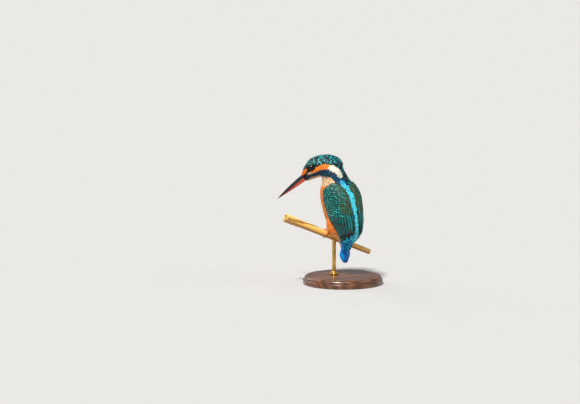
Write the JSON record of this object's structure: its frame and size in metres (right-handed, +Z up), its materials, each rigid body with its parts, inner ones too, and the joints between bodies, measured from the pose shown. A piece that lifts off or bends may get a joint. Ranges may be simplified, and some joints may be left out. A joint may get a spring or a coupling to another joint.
{
  "type": "common kingfisher, life-size still model on a reed perch",
  "caption": "Life-size still kingfisher looking down from a sloping reed stem, held over a round display base by a short rod.",
  "frame": {"origin": "middle of the stand base's underside, on the surface that it stands on", "axes": "+Z up, the bird's breast towards -Y, its left wing at +X, its head turned to its left"},
  "size_m": [0.1039, 0.1005, 0.1416],
  "materials": {
    "crown": "satin",
    "nape": "satin",
    "body": "matte",
    "rump": "satin",
    "wing": "satin",
    "tail": "satin",
    "bill_black": "gloss",
    "bill_red": "satin",
    "eye": "gloss",
    "foot": "satin",
    "claw": "satin",
    "reed": "matte",
    "stand_wood": "satin",
    "stand_brass": "satin"
  },
  "bodies": {
    "root": {"head": "crown", "neck": "nape", "trunk": "body", "rump": "rump", "tail": "tail", "wing_left": "wing", "wing_right": "wing", "thigh_left": "body", "thigh_right": "body", "foot_left": "foot", "foot_right": "foot", "eye_left": "eye", "eye_right": "eye", "bill_upper": "bill_black", "bill_lower": "bill_red", "perch": "reed", "stand_base": "stand_wood", "stand_rod": "stand_brass", "stand_collar": "stand_brass", "claw_left_inner": "claw", "claw_left_middle": "claw", "claw_left_outer": "claw", "claw_left_hind": "claw", "claw_right_inner": "claw", "claw_right_middle": "claw", "claw_right_outer": "claw", "claw_right_hind": "claw"}
  },
  "joints": []
}
